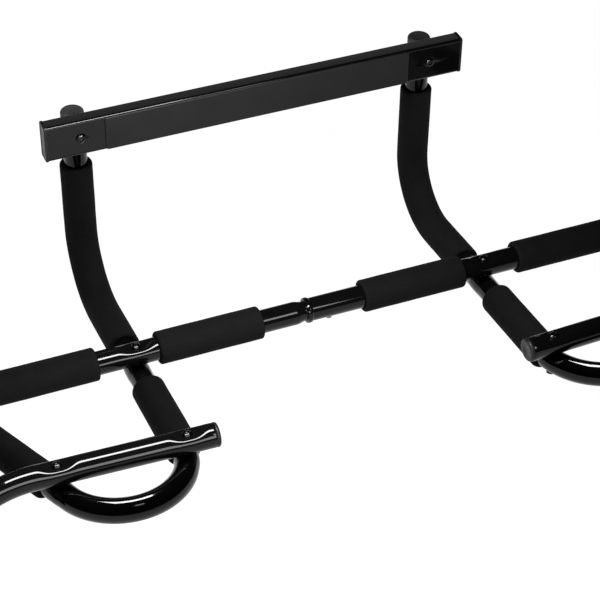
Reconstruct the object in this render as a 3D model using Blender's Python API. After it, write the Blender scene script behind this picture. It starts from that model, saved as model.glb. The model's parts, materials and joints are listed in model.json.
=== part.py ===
"""A doorway pull-up bar.

A rear rail sits over the door trim. Two bent arm tubes carry it and run on into loop handles. A two-piece
main bar and two short front bars are bolted over them, and foam grips, plugs, bolts and nuts finish it.

Run it with blender --background --python part.py. Lengths are in metres.
X runs along the main bar, +Y points at the wall and +Z up. Points are first worked out from the middle of the
main bar's axis, and the last step stands the whole bar on the origin.
"""

import math

import bmesh
import bpy
from mathutils import Matrix, Vector

SIDES = 16
FASTENER_SIDES = 12
ARC_STEP = math.radians(15)
CLOSEST_RINGS = 0.0015
GAP = 0.0003

TUBE_RADIUS = 0.0125
TUBE_WALL = 0.0015
FOAM_RADIUS = 0.0175
FOAM_ROUNDING = 0.0022

# Arms, legs and loops. The legs rise a little towards the front, and every bar bolt is square to them.
ARM_X = 0.1985
LEG_PITCH = math.radians(4.9)
ARM_Y = 0.1859
ARM_BEND_RADIUS = 0.0666
LOOP_START = 0.1392
LOOP_RADIUS = 0.0641
LOOP_TURN = math.radians(157.6)
LEG_TAIL = 0.0250
PLUG_STEM = 0.0080
PLUG_STEM_RADIUS = TUBE_RADIUS - TUBE_WALL - GAP
PLUG_HEAD = 0.0038

# A dent is the flat that is pressed into a tube where a bolt or another tube sits on it.
HEAD_DENT_DEPTH = 0.0042
NUT_DENT_DEPTH = 0.0036
SEAT_DENT_DEPTH = 0.0010
DENT_FLAT = 0.0075
DENT_RAMP = 0.0075
STACK = 2 * (TUBE_RADIUS - SEAT_DENT_DEPTH) + GAP

# Rear rail
RAIL_LENGTH = 0.4685
RAIL_HEIGHT = 0.0420
RAIL_DEPTH = 0.0170
RAIL_BOTTOM = 0.1459
RAIL_CORNER = 0.0022
RAIL_SEAT_DEPTH = 0.0006
RAIL_DISH_DEPTH = 0.0008
PAD_LENGTH = 0.3448
PAD_HEIGHT = 0.0396
PAD_THICKNESS = 0.0020
PAD_CORNER = 0.0010
RAIL_PLUG_STEM = 0.0140
RAIL_PLUG_FLANGE = 0.0025
RAIL_PLUG_OVERHANG = 0.0005
ARM_BELOW_RAIL_TOP = 0.0120
ARM_CAP_STEM = 0.0035
CAP_RADIUS = 0.0119
CAP_STEM_RADIUS = 0.0098
ARM_CAP_HEIGHT = 0.0082

# Foam grips on the arms, measured along the tube
ARM_GRIP_TOP = 0.0580
ARM_GRIP_GAP = 0.0450
LEG_GRIP_START = 0.0314
LEG_GRIP_GAP = 0.0130
OUTER_LEG_GRIP_GAP = 0.0178

# Main bar
MAIN_HALF = 0.4700
MOUTH_X = -0.0122
MOUTH_BEAD = 0.0014
BEAD_WIDTH = 0.0060
END_CAP_RADIUS = 0.0128
END_CAP_HEIGHT = 0.0060
NECK_RADIUS = TUBE_RADIUS - TUBE_WALL - GAP
NECK_START_X = -0.0240
NECK_END_X = -0.0135
NECK_TIP_X = 0.0520
INNER_GRIP = {"left": (0.0625, 0.1765), "right": (0.0532, 0.1705)}
OUTER_GRIP = {"left": (0.2420, 0.3590), "right": (0.2352, 0.3523)}
END_SLEEVE = (0.4120, 0.4620)

# Snap button that locks the two halves of the main bar
BUTTON_X = 0.0155
BUTTON_RADIUS = 0.0036
BUTTON_FLANGE_RADIUS = 0.0050
BUTTON_FLANGE_HEIGHT = 0.0012
BUTTON_FLANGE_FACE = 0.0071
BUTTON_PROTRUSION = 0.0040
SPRING_WIDTH = 0.0080
SPRING_THICKNESS = 0.0008
SPRING_EDGE_GAP = 0.0012
SPRING_REACH = 0.0180
FOLD_STEPS = 8

# Front bars
FRONT_BAR_FORWARD = 0.1560
FRONT_BAR_SWEEP = math.radians(2.5)
FRONT_BAR_OVERHANG = 0.0275
FRONT_BEND_START = 0.0235
FRONT_BEND_RADIUS = 0.0990
FRONT_BEND_TURN = math.radians(32)
FRONT_TAIL = 0.0684
FRONT_GRIP_END_GAP = 0.0060

# M6 button-head bolts and their nuts
BOLT_RADIUS = 0.0030
BOLT_HOLE_RADIUS = BOLT_RADIUS + GAP
BOLT_HEAD_RADIUS = 0.0051
BOLT_HEAD_HEIGHT = 0.0031
SOCKET_RADIUS = 0.0022
SOCKET_DEPTH = 0.0018
BOLT_PAST_NUT = 0.0016
BOLT_CHAMFER = 0.0008
NUT_RADIUS = 0.0056
NUT_HEIGHT = 0.0048
NUT_CHAMFER = 0.0006
DISH_RADIUS = 0.0068
OVERCUT = 0.0010

UP = Vector((0, math.sin(LEG_PITCH), math.cos(LEG_PITCH)))
FORWARD = Vector((0, -math.cos(LEG_PITCH), math.sin(LEG_PITCH)))
OUTWARD = Vector((1, 0, 0))
DOWN = Vector((0, 0, -1))
TOWARDS_USER = Vector((0, -1, 0))
SIDE_LABELS = ((-1, "left"), (1, "right"))


def clear_scene():
    for obj in list(bpy.data.objects):
        bpy.data.objects.remove(obj, do_unlink=True)


def make_material(name, colour, roughness, metallic=0.0):
    material = bpy.data.materials.new(name)
    material.use_nodes = True
    shader = material.node_tree.nodes["Principled BSDF"]
    shader.inputs["Base Color"].default_value = (*colour, 1.0)
    shader.inputs["Roughness"].default_value = roughness
    shader.inputs["Metallic"].default_value = metallic
    material.diffuse_color = (*colour, 1.0)
    return material


# ---------------------------------------------------------------- bodies made of rings of points


def join_rings(mesh, rings):
    for lower, upper in zip(rings, rings[1:]):
        for i in range(len(lower)):
            j = (i + 1) % len(lower)
            mesh.faces.new((lower[i], lower[j], upper[j], upper[i]))


def finish_body(name, mesh, material, assembly):
    bmesh.ops.recalc_face_normals(mesh, faces=mesh.faces)
    data = bpy.data.meshes.new(name)
    mesh.to_mesh(data)
    mesh.free()
    data.materials.append(material)
    data.shade_smooth()
    data.set_sharp_from_angle(angle=math.radians(35))
    obj = bpy.data.objects.new(name, data)
    bpy.context.scene.collection.objects.link(obj)
    obj.parent = assembly
    return obj


def solid_body(name, rings, material, assembly):
    """A closed body through the rings, with a flat face across the first ring and the last one."""
    mesh = bmesh.new()
    corners = [[mesh.verts.new(point) for point in ring] for ring in rings]
    join_rings(mesh, corners)
    mesh.faces.new(corners[0])
    mesh.faces.new(corners[-1])
    return finish_body(name, mesh, material, assembly)


def hollow_body(name, outer_rings, inner_rings, material, assembly):
    """A tube: outer wall, inner wall and a rim at each end."""
    mesh = bmesh.new()
    outer = [[mesh.verts.new(point) for point in ring] for ring in outer_rings]
    inner = [[mesh.verts.new(point) for point in ring] for ring in inner_rings]
    join_rings(mesh, outer)
    join_rings(mesh, inner)
    join_rings(mesh, [outer[0], inner[0]])
    join_rings(mesh, [outer[-1], inner[-1]])
    return finish_body(name, mesh, material, assembly)


def cross_frame(axis):
    """Two unit vectors square to the axis. The second points up, or at the wall where the axis is steep."""
    hint = Vector((0, 0, 1)) if abs(axis.z) < 0.5 else Vector((0, 1, 0))
    rise = (hint - axis * hint.dot(axis)).normalized()
    return axis.cross(rise).normalized(), rise


def turned_rings(start, axis, profile, sides):
    """Circles along an axis. The profile lists (distance along the axis, radius)."""
    across, rise = cross_frame(axis)
    rings = []
    for along, radius in profile:
        ring = []
        for i in range(sides):
            angle = 2 * math.pi * i / sides
            ring.append(start + axis * along + (across * math.cos(angle) + rise * math.sin(angle)) * radius)
        rings.append(ring)
    return rings


def hexagon_ring(centre, axis, radius):
    """A hexagon with a point halfway along each side, so that it can meet a circle of 12 points."""
    across, rise = cross_frame(axis)
    ring = []
    for i in range(FASTENER_SIDES):
        angle = 2 * math.pi * i / FASTENER_SIDES
        reach = radius if i % 2 == 0 else radius * math.cos(math.pi / 6)
        ring.append(centre + (across * math.cos(angle) + rise * math.sin(angle)) * reach)
    return ring


def rounded_rectangle(centre, across, rise, width, height, corner):
    """A rectangle with two points at each corner, read anticlockwise."""
    points = []
    for side_x, side_z in ((1, 1), (-1, 1), (-1, -1), (1, -1)):
        near = (side_x * (width / 2 - corner), side_z * height / 2)
        far = (side_x * width / 2, side_z * (height / 2 - corner))
        order = (far, near) if side_x == side_z else (near, far)
        points += [centre + across * x + rise * z for x, z in order]
    return points


# ---------------------------------------------------------------- tubes that follow a centreline


def dent_marks(dents):
    """The distances along a tube that need a ring of points, so that each dent keeps its shape."""
    marks = []
    for middle, flat, _depth, _face in dents:
        for offset in (flat, flat + DENT_RAMP / 2, flat + DENT_RAMP):
            marks += [middle - offset, middle + offset]
    return marks


def dent_at(dents, distance, face):
    """How far the wall is pressed in at this distance, on the upper (+1) or the lower (-1) face."""
    deepest = 0.0
    for middle, flat, depth, dent_face in dents:
        if dent_face == face:
            ramp = min(1.0, max(0.0, 1.0 - (abs(distance - middle) - flat) / DENT_RAMP))
            deepest = max(deepest, depth * ramp * ramp * (3 - 2 * ramp))
    return deepest


def stops_of(first, last, marks, spacing):
    """The distances of a move's rings: every mark, its end, and steps that stay clear of the marks."""
    inside = [mark for mark in marks if first + 1e-5 < mark < last - 1e-5]
    count = math.ceil((last - first) / spacing) if spacing else 1
    for i in range(1, count):
        step = first + (last - first) * i / count
        if all(abs(step - mark) > CLOSEST_RINGS for mark in marks):
            inside.append(step)
    return [*sorted({round(stop, 6) for stop in inside}), last]


def trace(start, heading, rise, moves, marks=()):
    """Walks a centreline and returns its stations, each (distance, point, heading, rise).

    A move is ("line", length) or ("turn", radius, angle, axis), which turns anticlockwise about the axis.
    """
    stations = [(0.0, start, heading, rise)]
    for move in moves:
        first, point, heading, rise = stations[-1]
        if move[0] == "line":
            last = first + move[1]
            for stop in stops_of(first, last, marks, None):
                stations.append((stop, point + heading * (stop - first), heading, rise))
            continue
        _, radius, angle, axis = move
        last = first + radius * angle
        centre = point + axis.cross(heading) * radius
        for stop in stops_of(first, last, marks, radius * ARC_STEP):
            turn = Matrix.Rotation((stop - first) / radius, 3, axis)
            stations.append((stop, centre + turn @ (point - centre), turn @ heading, turn @ rise))
    return stations


def between(stations, first, last):
    """The stations from one distance to another. Both distances are marks of the trace."""
    return [station for station in stations if first - 1e-5 <= station[0] <= last + 1e-5]


def tube_rings(stations, radius_at, shrink, dents=()):
    rings = []
    for distance, point, heading, rise in stations:
        across = heading.cross(rise).normalized()
        radius = radius_at(distance) - shrink
        highest = radius - dent_at(dents, distance, 1)
        lowest = -radius + dent_at(dents, distance, -1)
        ring = []
        for i in range(SIDES):
            angle = 2 * math.pi * i / SIDES
            lift = min(highest, max(lowest, radius * math.sin(angle)))
            ring.append(point + across * (radius * math.cos(angle)) + rise * lift)
        rings.append(ring)
    return rings


def tube(name, stations, dents, material, assembly, radius_at=lambda distance: TUBE_RADIUS):
    outer = tube_rings(stations, radius_at, 0.0, dents)
    inner = tube_rings(stations, radius_at, TUBE_WALL, dents)
    return hollow_body(name, outer, inner, material, assembly)


def grip(name, route, first, last, material, assembly):
    """A foam sleeve on a tube, from one distance along it to another, with its outer edges rounded off."""
    marks = [first, first + FOAM_ROUNDING, last - FOAM_ROUNDING, last]
    own = between(trace(*route, marks), first, last)

    def foam_radius(distance):
        inset = max(0.0, FOAM_ROUNDING - min(distance - first, last - distance))
        return FOAM_RADIUS - inset * 0.7

    outer = tube_rings(own, foam_radius, 0.0)
    inner = tube_rings(own, lambda distance: TUBE_RADIUS + GAP, 0.0)
    return hollow_body(name, outer, inner, material, assembly)


# ---------------------------------------------------------------- cutters, bolts, nuts and plugs


def cut(obj, name, rings, assembly):
    """Cuts a turned solid out of the object with a Boolean that stays on it."""
    cutter = solid_body(name, rings, obj.data.materials[0], assembly)
    cutter.hide_render = True
    cutter.display_type = "WIRE"
    modifier = obj.modifiers.new(name, "BOOLEAN")
    modifier.operation = "DIFFERENCE"
    modifier.object = cutter


def drill(obj, name, start, axis, depth, assembly):
    rings = turned_rings(start, axis, [(0.0, BOLT_HOLE_RADIUS), (depth, BOLT_HOLE_RADIUS)], FASTENER_SIDES)
    cut(obj, name, rings, assembly)


def bolt(name, seat, axis, grip_length, material, assembly):
    """A button-head bolt. The seat is the middle of the face under its head. The axis runs down the shank."""
    end = grip_length + NUT_HEIGHT + BOLT_PAST_NUT
    profile = [
        (end, BOLT_RADIUS - BOLT_CHAMFER * 0.75),
        (end - BOLT_CHAMFER, BOLT_RADIUS),
        (0.0, BOLT_RADIUS),
        (0.0, BOLT_HEAD_RADIUS),
        (-BOLT_HEAD_HEIGHT * 0.30, BOLT_HEAD_RADIUS),
        (-BOLT_HEAD_HEIGHT * 0.75, BOLT_HEAD_RADIUS * 0.82),
        (-BOLT_HEAD_HEIGHT, BOLT_HEAD_RADIUS * 0.52),
    ]
    rings = turned_rings(seat, axis, profile, FASTENER_SIDES)
    rings.append(hexagon_ring(seat - axis * BOLT_HEAD_HEIGHT, axis, SOCKET_RADIUS))
    rings.append(hexagon_ring(seat - axis * (BOLT_HEAD_HEIGHT - SOCKET_DEPTH), axis, SOCKET_RADIUS))
    return solid_body(name, rings, material, assembly)


def nut(name, seat, axis, material, assembly):
    """A hexagon nut, from its seat along the axis."""
    washer_face = NUT_RADIUS * math.cos(math.pi / 6)
    ends = turned_rings(seat, axis, [(0.0, washer_face), (NUT_HEIGHT, washer_face)], FASTENER_SIDES)
    outer = [
        ends[0],
        hexagon_ring(seat + axis * NUT_CHAMFER, axis, NUT_RADIUS),
        hexagon_ring(seat + axis * (NUT_HEIGHT - NUT_CHAMFER), axis, NUT_RADIUS),
        ends[1],
    ]
    bore = [(0.0, BOLT_HOLE_RADIUS), (NUT_HEIGHT, BOLT_HOLE_RADIUS)]
    inner = turned_rings(seat, axis, bore, FASTENER_SIDES)
    return hollow_body(name, outer, inner, material, assembly)


def bolted_joint(name, seat, axis, grip_length, held, material, assembly):
    """A bolt through the held pieces, its nut on the far side, and the holes for it."""
    bolt(name + "_bolt", seat - axis * GAP, axis, grip_length + 2 * GAP, material, assembly)
    nut(name + "_nut", seat + axis * (grip_length + GAP), axis, material, assembly)
    for piece in held:
        hole = f"{name}_hole_in_{piece.name}"
        drill(piece, hole, seat - axis * OVERCUT, axis, grip_length + 2 * OVERCUT, assembly)


def plug(name, mouth, axis, profile, material, assembly):
    """A turned plastic plug. The mouth is the middle of the tube's end. The axis points out of the tube."""
    return solid_body(name, turned_rings(mouth, axis, profile, SIDES), material, assembly)


def flat_plug_profile():
    """A stem that fills the tube's bore, and a head as wide as the tube with a rounded edge."""
    return [
        (-PLUG_STEM, PLUG_STEM_RADIUS * 0.9),
        (-PLUG_STEM * 0.85, PLUG_STEM_RADIUS),
        (GAP, PLUG_STEM_RADIUS),
        (GAP, TUBE_RADIUS),
        (PLUG_HEAD * 0.6, TUBE_RADIUS),
        (PLUG_HEAD * 0.9, TUBE_RADIUS * 0.9),
        (PLUG_HEAD, TUBE_RADIUS * 0.6),
    ]


def domed_cap_profile(stem, stem_length, flange, height):
    """A stem, then a flange that is straight for under half of its height and domed above that."""
    straight = height * 0.45
    profile = [
        (-stem_length, stem * 0.9),
        (-stem_length * 0.85, stem),
        (GAP, stem),
        (GAP, flange),
        (straight, flange),
    ]
    for degrees in (25, 50, 72):
        angle = math.radians(degrees)
        profile.append((straight + (height - straight) * math.sin(angle), flange * math.cos(angle)))
    return profile


# ---------------------------------------------------------------- the plan of legs, loops and bars


def leg_point(x, forward, lift):
    """A point in the legs' tilted frame: sideways, forward from the main bar, and square to the legs."""
    return OUTWARD * x + FORWARD * forward + UP * lift


def outer_leg_line():
    """Where the outer leg starts, in plan, and the way it runs: (x, forward) for each."""
    start = (
        ARM_X + LOOP_RADIUS * (1 - math.cos(LOOP_TURN)),
        LOOP_START + LOOP_RADIUS * math.sin(LOOP_TURN),
    )
    return start, (math.sin(LOOP_TURN), math.cos(LOOP_TURN))


def outer_leg_at_front_bar():
    """How far along the outer leg it passes under the front bar's axis."""
    (x, forward), (run_x, run_forward) = outer_leg_line()
    slope = math.tan(FRONT_BAR_SWEEP)
    excess = forward - (FRONT_BAR_FORWARD - (x - ARM_X) * slope)
    return excess / -(run_forward + run_x * slope)


def outer_leg_at_main_bar():
    (_, forward), (_, run_forward) = outer_leg_line()
    return -forward / run_forward


def outer_leg_point(along):
    (x, forward), (run_x, run_forward) = outer_leg_line()
    return x + run_x * along, forward + run_forward * along


def upper_tube_dents(distance):
    """The flats of a bolted crossing in the tube on top: a deep one for the bolt head, and a seat."""
    return [(distance, DENT_FLAT, HEAD_DENT_DEPTH, 1), (distance, DENT_FLAT, SEAT_DENT_DEPTH, -1)]


def lower_tube_dents(distance):
    """The flats of a bolted crossing in the tube below: a seat, and a deep one for the nut."""
    return [(distance, DENT_FLAT, SEAT_DENT_DEPTH, 1), (distance, DENT_FLAT, NUT_DENT_DEPTH, -1)]


def arm_route():
    """The upright's length, the straight's length from the bend to the main bar, and the top end's height."""
    crossing = leg_point(0, 0, -STACK)
    reach = ARM_BEND_RADIUS * (1 + math.sin(LEG_PITCH))
    lower = (ARM_Y - reach - crossing.y) / math.cos(LEG_PITCH)
    bend_end_z = crossing.z - lower * math.sin(LEG_PITCH)
    top_z = RAIL_BOTTOM + RAIL_HEIGHT - ARM_BELOW_RAIL_TOP
    upright = top_z - (bend_end_z + ARM_BEND_RADIUS * math.cos(LEG_PITCH))
    return upright, lower, top_z


# ---------------------------------------------------------------- the pieces


def make_arm(side, label, looks, assembly):
    """One bent tube: upright, bend, inner leg, loop and outer leg, with its foam grips and its end pieces."""
    upright, lower, top_z = arm_route()
    bend_turn = math.pi / 2 + LEG_PITCH
    start = Vector((side * ARM_X, ARM_Y, top_z))
    at_main = upright + ARM_BEND_RADIUS * bend_turn + lower
    at_front = at_main + FRONT_BAR_FORWARD
    loop_end = at_main + LOOP_START + LOOP_RADIUS * LOOP_TURN
    at_front_outer = loop_end + outer_leg_at_front_bar()
    at_main_outer = loop_end + outer_leg_at_main_bar()
    rail_middle = RAIL_HEIGHT / 2 - ARM_BELOW_RAIL_TOP
    dents = [
        (rail_middle, RAIL_HEIGHT / 2, RAIL_SEAT_DEPTH, 1),
        (rail_middle, DENT_FLAT, SEAT_DENT_DEPTH, -1),
        *lower_tube_dents(at_main),
        *lower_tube_dents(at_front),
        *lower_tube_dents(at_front_outer),
        *lower_tube_dents(at_main_outer),
    ]
    grips = {
        "arm_grip": (ARM_GRIP_TOP, at_main - ARM_GRIP_GAP),
        "inner_leg_grip": (at_main + LEG_GRIP_START, at_front - LEG_GRIP_GAP),
        "outer_leg_grip": (at_front_outer + OUTER_LEG_GRIP_GAP, at_main_outer - LEG_GRIP_START),
    }
    moves = [
        ("line", upright),
        ("turn", ARM_BEND_RADIUS, bend_turn, Vector((-1, 0, 0))),
        ("line", lower + LOOP_START),
        ("turn", LOOP_RADIUS, LOOP_TURN, UP * side),
        ("line", outer_leg_at_main_bar() + LEG_TAIL),
    ]
    route = (start, DOWN, TOWARDS_USER, moves)
    stations = trace(*route, dent_marks(dents))
    arm = tube(f"arm_tube_{label}", stations, dents, looks["paint"], assembly)
    for name, (first, last) in grips.items():
        grip(f"{name}_{label}", route, first, last, looks["foam"], assembly)
    cap = domed_cap_profile(CAP_STEM_RADIUS, ARM_CAP_STEM, CAP_RADIUS, ARM_CAP_HEIGHT)
    plug(f"arm_top_cap_{label}", start, -DOWN, cap, looks["plastic"], assembly)
    tail = stations[-1]
    plug(f"leg_end_plug_{label}", tail[1], tail[2], flat_plug_profile(), looks["plastic"], assembly)
    return arm


def make_main_bar_half(side, label, looks, assembly):
    """One half of the main bar. The left half's neck slides into the right half's beaded mouth."""
    inner_end = NECK_TIP_X if side < 0 else MOUTH_X
    start = OUTWARD * (side * MAIN_HALF)
    length = MAIN_HALF - side * inner_end

    def along(x):
        return MAIN_HALF - x

    def radius_at(distance):
        x = side * (MAIN_HALF - distance)
        if side < 0:
            share = min(1.0, max(0.0, (x - NECK_START_X) / (NECK_END_X - NECK_START_X)))
            return TUBE_RADIUS + (NECK_RADIUS - TUBE_RADIUS) * share
        bead = 1 - ((x - MOUTH_X - BEAD_WIDTH / 2) / (BEAD_WIDTH / 2)) ** 2
        return TUBE_RADIUS + MOUTH_BEAD * math.sqrt(max(0.0, bead))

    outer_x, _ = outer_leg_point(outer_leg_at_main_bar())
    dents = [*upper_tube_dents(along(ARM_X)), *upper_tube_dents(along(outer_x))]
    grips = {
        "main_inner_grip": INNER_GRIP[label],
        "main_outer_grip": OUTER_GRIP[label],
        "main_bar_end_sleeve": END_SLEEVE,
    }
    marks = dent_marks(dents)
    if side < 0:
        marks += [MAIN_HALF + x for x in (NECK_START_X, NECK_END_X)]
    else:
        marks += [MAIN_HALF - MOUTH_X - BEAD_WIDTH * share for share in (0.06, 0.25, 0.5, 0.75, 0.94, 1.0)]
    route = (start, OUTWARD * -side, UP, [("line", length)])
    half = tube(f"main_bar_{label}_tube", trace(*route, marks), dents, looks["paint"], assembly, radius_at)
    for name, (near, far) in grips.items():
        grip(f"{name}_{label}", route, along(far), along(near), looks["foam"], assembly)
    cap = domed_cap_profile(PLUG_STEM_RADIUS, PLUG_STEM, END_CAP_RADIUS, END_CAP_HEIGHT)
    plug(f"main_bar_end_cap_{label}", start, OUTWARD * side, cap, looks["plastic"], assembly)
    return half


def make_front_bar(side, label, looks, assembly):
    """A short bar over both legs. Its outer end bends down to a foam grip."""
    sweep = Matrix.Rotation(side * FRONT_BAR_SWEEP, 3, UP)
    heading = sweep @ (OUTWARD * side)
    inner_seat = leg_point(side * ARM_X, FRONT_BAR_FORWARD, 0)
    outer_x, outer_forward = outer_leg_point(outer_leg_at_front_bar())
    outer_seat = leg_point(side * outer_x, outer_forward, 0)
    start = inner_seat - heading * FRONT_BAR_OVERHANG
    outer_distance = (outer_seat - start).length
    bend_axis = UP.cross(heading).normalized()
    bend_start = outer_distance + FRONT_BEND_START
    tail_start = bend_start + FRONT_BEND_RADIUS * FRONT_BEND_TURN
    grip_end = tail_start + FRONT_TAIL - FRONT_GRIP_END_GAP
    dents = [
        *upper_tube_dents(FRONT_BAR_OVERHANG),
        *upper_tube_dents(outer_distance),
    ]
    moves = [
        ("line", bend_start),
        ("turn", FRONT_BEND_RADIUS, FRONT_BEND_TURN, bend_axis),
        ("line", FRONT_TAIL),
    ]
    route = (start, heading, UP, moves)
    stations = trace(*route, dent_marks(dents))
    bar = tube(f"front_bar_{label}", stations, dents, looks["paint"], assembly)
    grip(f"front_bar_grip_{label}", route, tail_start, grip_end, looks["foam"], assembly)
    tail = stations[-1]
    plug(f"front_bar_inner_plug_{label}", start, -heading, flat_plug_profile(), looks["plastic"], assembly)
    plug(f"front_bar_outer_plug_{label}", tail[1], tail[2], flat_plug_profile(), looks["plastic"], assembly)
    return bar, inner_seat, outer_seat


def rail_rings(xs, width, height, corner):
    middle_y = rail_front_y() + RAIL_DEPTH / 2
    middle_z = RAIL_BOTTOM + RAIL_HEIGHT / 2
    across = Vector((0, 1, 0))
    rise = Vector((0, 0, 1))
    return [
        rounded_rectangle(Vector((x, middle_y, middle_z)), across, rise, width, height, corner) for x in xs
    ]


def rail_front_y():
    return ARM_Y - (TUBE_RADIUS - RAIL_SEAT_DEPTH) - GAP - RAIL_DEPTH


def make_rail(looks, assembly):
    """The rail is a rectangular tube, with a pad on its front face and a flanged plug in each end."""
    half = RAIL_LENGTH / 2
    outer = rail_rings((-half, half), RAIL_DEPTH, RAIL_HEIGHT, RAIL_CORNER)
    inner = rail_rings((-half, half), RAIL_DEPTH - 2 * TUBE_WALL, RAIL_HEIGHT - 2 * TUBE_WALL, TUBE_WALL / 2)
    rail = hollow_body("rear_rail", outer, inner, looks["paint"], assembly)
    inside = 2 * (TUBE_WALL + GAP)
    for side, label in SIDE_LABELS:
        stem = rail_rings(
            [side * (half + x) for x in (-RAIL_PLUG_STEM, GAP)],
            RAIL_DEPTH - inside,
            RAIL_HEIGHT - inside,
            TUBE_WALL / 2,
        )
        flange = rail_rings(
            [side * (half + x) for x in (GAP, RAIL_PLUG_FLANGE)],
            RAIL_DEPTH + 2 * RAIL_PLUG_OVERHANG,
            RAIL_HEIGHT + 2 * RAIL_PLUG_OVERHANG,
            RAIL_CORNER,
        )
        face = rail_rings(
            [side * (half + RAIL_PLUG_FLANGE + RAIL_CORNER / 3)],
            RAIL_DEPTH - RAIL_CORNER,
            RAIL_HEIGHT - RAIL_CORNER,
            RAIL_CORNER,
        )
        solid_body(f"rail_end_plug_{label}", stem + flange + face, looks["plastic"], assembly)
    make_pad(looks, assembly)
    return rail


def make_pad(looks, assembly):
    front = rail_front_y() - GAP
    rings = []
    for away, inset in ((0.0, 0.0), (PAD_THICKNESS * 0.7, 0.0), (PAD_THICKNESS, PAD_THICKNESS * 0.3)):
        centre = Vector((0, front - away, RAIL_BOTTOM + RAIL_HEIGHT / 2))
        size = (PAD_LENGTH - 2 * inset, PAD_HEIGHT - 2 * inset)
        rings.append(rounded_rectangle(centre, OUTWARD, Vector((0, 0, 1)), *size, PAD_CORNER))
    solid_body("rail_pad", rings, looks["pad"], assembly)


def make_snap_button(looks, assembly):
    """The button pokes down through both tubes. A bent leaf spring inside the neck pushes it out."""
    tip = TUBE_RADIUS + BUTTON_PROTRUSION
    profile = [
        (BUTTON_FLANGE_FACE - BUTTON_FLANGE_HEIGHT, BUTTON_FLANGE_RADIUS),
        (BUTTON_FLANGE_FACE, BUTTON_FLANGE_RADIUS),
        (BUTTON_FLANGE_FACE, BUTTON_RADIUS),
        (tip - BUTTON_RADIUS * 0.8, BUTTON_RADIUS),
        (tip - BUTTON_RADIUS * 0.35, BUTTON_RADIUS * 0.80),
        (tip, BUTTON_RADIUS * 0.35),
    ]
    rings = turned_rings(Vector(), -UP, profile, FASTENER_SIDES)
    button = solid_body("snap_button", rings, looks["steel"], assembly)
    button.location = OUTWARD * BUTTON_X


def cut_button_holes(tubes, assembly):
    radius = BUTTON_RADIUS + GAP
    profile = [(TUBE_RADIUS / 2, radius), (TUBE_RADIUS + 2 * TUBE_WALL, radius)]
    for piece in tubes:
        rings = turned_rings(OUTWARD * BUTTON_X, -UP, profile, FASTENER_SIDES)
        cut(piece, f"button_hole_in_{piece.name}", rings, assembly)


def make_button_spring(looks, assembly):
    """A leaf bent into a V: one end is at the top of the neck's bore, the other on the button's flange."""
    upper = NECK_RADIUS - TUBE_WALL - SPRING_EDGE_GAP
    lower = GAP + BUTTON_FLANGE_HEIGHT - BUTTON_FLANGE_FACE
    half = SPRING_THICKNESS / 2
    fold_x = BUTTON_X - SPRING_REACH
    free_x = BUTTON_X + SPRING_WIDTH / 2
    fold_radius = (upper - lower) / 4
    middle = (upper + lower) / 2
    outline = [Vector((free_x, lower + half)), Vector((BUTTON_X - SPRING_WIDTH / 2, lower + half))]
    for i in range(FOLD_STEPS + 1):
        angle = -math.pi / 2 - math.pi * i / FOLD_STEPS
        x = fold_x + fold_radius * math.cos(angle)
        outline.append(Vector((x, middle + fold_radius * math.sin(angle))))
    outline += [Vector((BUTTON_X - SPRING_WIDTH / 2, upper - half)), Vector((free_x, upper - half))]
    rings = []
    for i, point in enumerate(outline):
        ahead = outline[min(i + 1, len(outline) - 1)]
        behind = outline[max(i - 1, 0)]
        run = (ahead - behind).normalized()
        normal = Vector((-run.y, run.x)) * half
        corners = []
        for offset, width in ((normal, 1), (normal, -1), (-normal, -1), (-normal, 1)):
            spot = point + offset
            corners.append(OUTWARD * spot.x + UP * spot.y + FORWARD * (width * SPRING_WIDTH / 2))
        rings.append(corners)
    solid_body("snap_button_spring", rings, looks["steel"], assembly)


def make_bolts(rail, arms, halves, front_bars, looks, assembly):
    top = TUBE_RADIUS - HEAD_DENT_DEPTH
    crossing_grip = top + STACK + TUBE_RADIUS - NUT_DENT_DEPTH
    outer_x, _ = outer_leg_point(outer_leg_at_main_bar())
    for (side, label), arm, half, (bar, inner_seat, outer_seat) in zip(SIDE_LABELS, arms, halves, front_bars):
        seats = {
            f"main_bar_inner_{label}": (OUTWARD * (side * ARM_X), half),
            f"main_bar_outer_{label}": (OUTWARD * (side * outer_x), half),
            f"front_bar_inner_{label}": (inner_seat, bar),
            f"front_bar_outer_{label}": (outer_seat, bar),
        }
        for name, (seat, upper) in seats.items():
            bolted_joint(name, seat + UP * top, -UP, crossing_grip, (upper, arm), looks["steel"], assembly)
        make_rail_bolt(side, label, rail, arm, looks, assembly)


def make_rail_bolt(side, label, rail, arm, looks, assembly):
    """The rail bolt's head sits in a shallow dish in the rail's front face, and its nut is behind the arm."""
    face = Vector((side * ARM_X, rail_front_y(), RAIL_BOTTOM + RAIL_HEIGHT / 2))
    axis = -TOWARDS_USER
    seat = face + axis * RAIL_DISH_DEPTH
    grip_length = ARM_Y + TUBE_RADIUS - SEAT_DENT_DEPTH - seat.y
    dish = [
        (-OVERCUT, DISH_RADIUS * 1.1),
        (0.0, DISH_RADIUS),
        (RAIL_DISH_DEPTH, DISH_RADIUS * 0.8),
    ]
    cut(rail, f"rail_dish_{label}", turned_rings(face, axis, dish, SIDES), assembly)
    bolted_joint(f"rail_{label}", seat, axis, grip_length, (rail, arm), looks["steel"], assembly)


def stand_on_origin(assembly):
    """Moves the whole bar so that the middle of its box's underside is the origin."""
    bpy.context.view_layer.update()
    points = []
    for obj in assembly.children:
        if not obj.hide_render:
            points += [obj.matrix_world @ vertex.co for vertex in obj.data.vertices]
    middle_x, middle_y = ((min(p[i] for p in points) + max(p[i] for p in points)) / 2 for i in (0, 1))
    assembly.location = (-middle_x, -middle_y, -min(p.z for p in points))


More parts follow.
